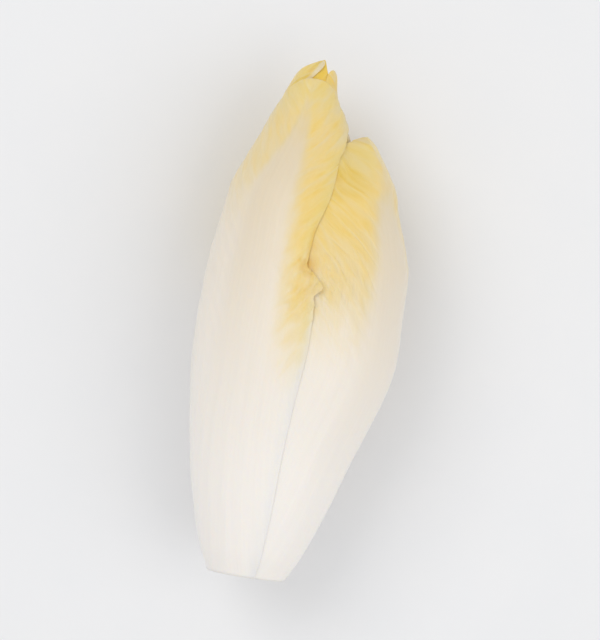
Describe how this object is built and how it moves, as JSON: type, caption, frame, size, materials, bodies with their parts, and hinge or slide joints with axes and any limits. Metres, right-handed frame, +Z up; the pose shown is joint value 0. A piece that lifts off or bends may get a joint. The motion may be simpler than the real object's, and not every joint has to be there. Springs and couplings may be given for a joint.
{
  "type": "belgian endive",
  "caption": "Head of Belgian endive (witloof chicory), trimmed and lying on its side: tightly wrapped cream leaves with pale yellow edges round a short cut stem.",
  "frame": {"origin": "middle of the bottom of the head's bounding box, on the surface that the head lies on", "axes": "+Z up, +Y along the head from its cut stem end to its tip, +X to the right of a viewer who looks down on the head with its tip away from them"},
  "size_m": [0.0528, 0.135, 0.0485],
  "materials": {
    "outer_leaf": "satin, waxy leaf, near white at the base and pale yellow at its upper edges",
    "middle_leaf": "satin, waxy leaf, cream with a yellow upper edge",
    "inner_leaf": "satin, waxy leaf, cream with a strong yellow upper edge",
    "heart_leaf": "satin, small yellow leaf",
    "stem": "matt, moist cut flesh, ivory with a faintly browned rim"
  },
  "bodies": {
    "root": {"outer_leaf_1": "outer_leaf", "outer_leaf_2": "outer_leaf", "outer_leaf_3": "outer_leaf", "outer_leaf_4": "outer_leaf", "outer_leaf_5": "outer_leaf", "middle_leaf_1": "middle_leaf", "middle_leaf_2": "middle_leaf", "middle_leaf_3": "middle_leaf", "middle_leaf_4": "middle_leaf", "middle_leaf_5": "middle_leaf", "middle_leaf_6": "middle_leaf", "inner_leaf_1": "inner_leaf", "inner_leaf_2": "inner_leaf", "inner_leaf_3": "inner_leaf", "inner_leaf_4": "inner_leaf", "inner_leaf_5": "inner_leaf", "heart_leaf_1": "heart_leaf", "heart_leaf_2": "heart_leaf", "heart_leaf_3": "heart_leaf", "heart_leaf_4": "heart_leaf", "heart_leaf_5": "heart_leaf", "stem": "stem"}
  },
  "joints": []
}
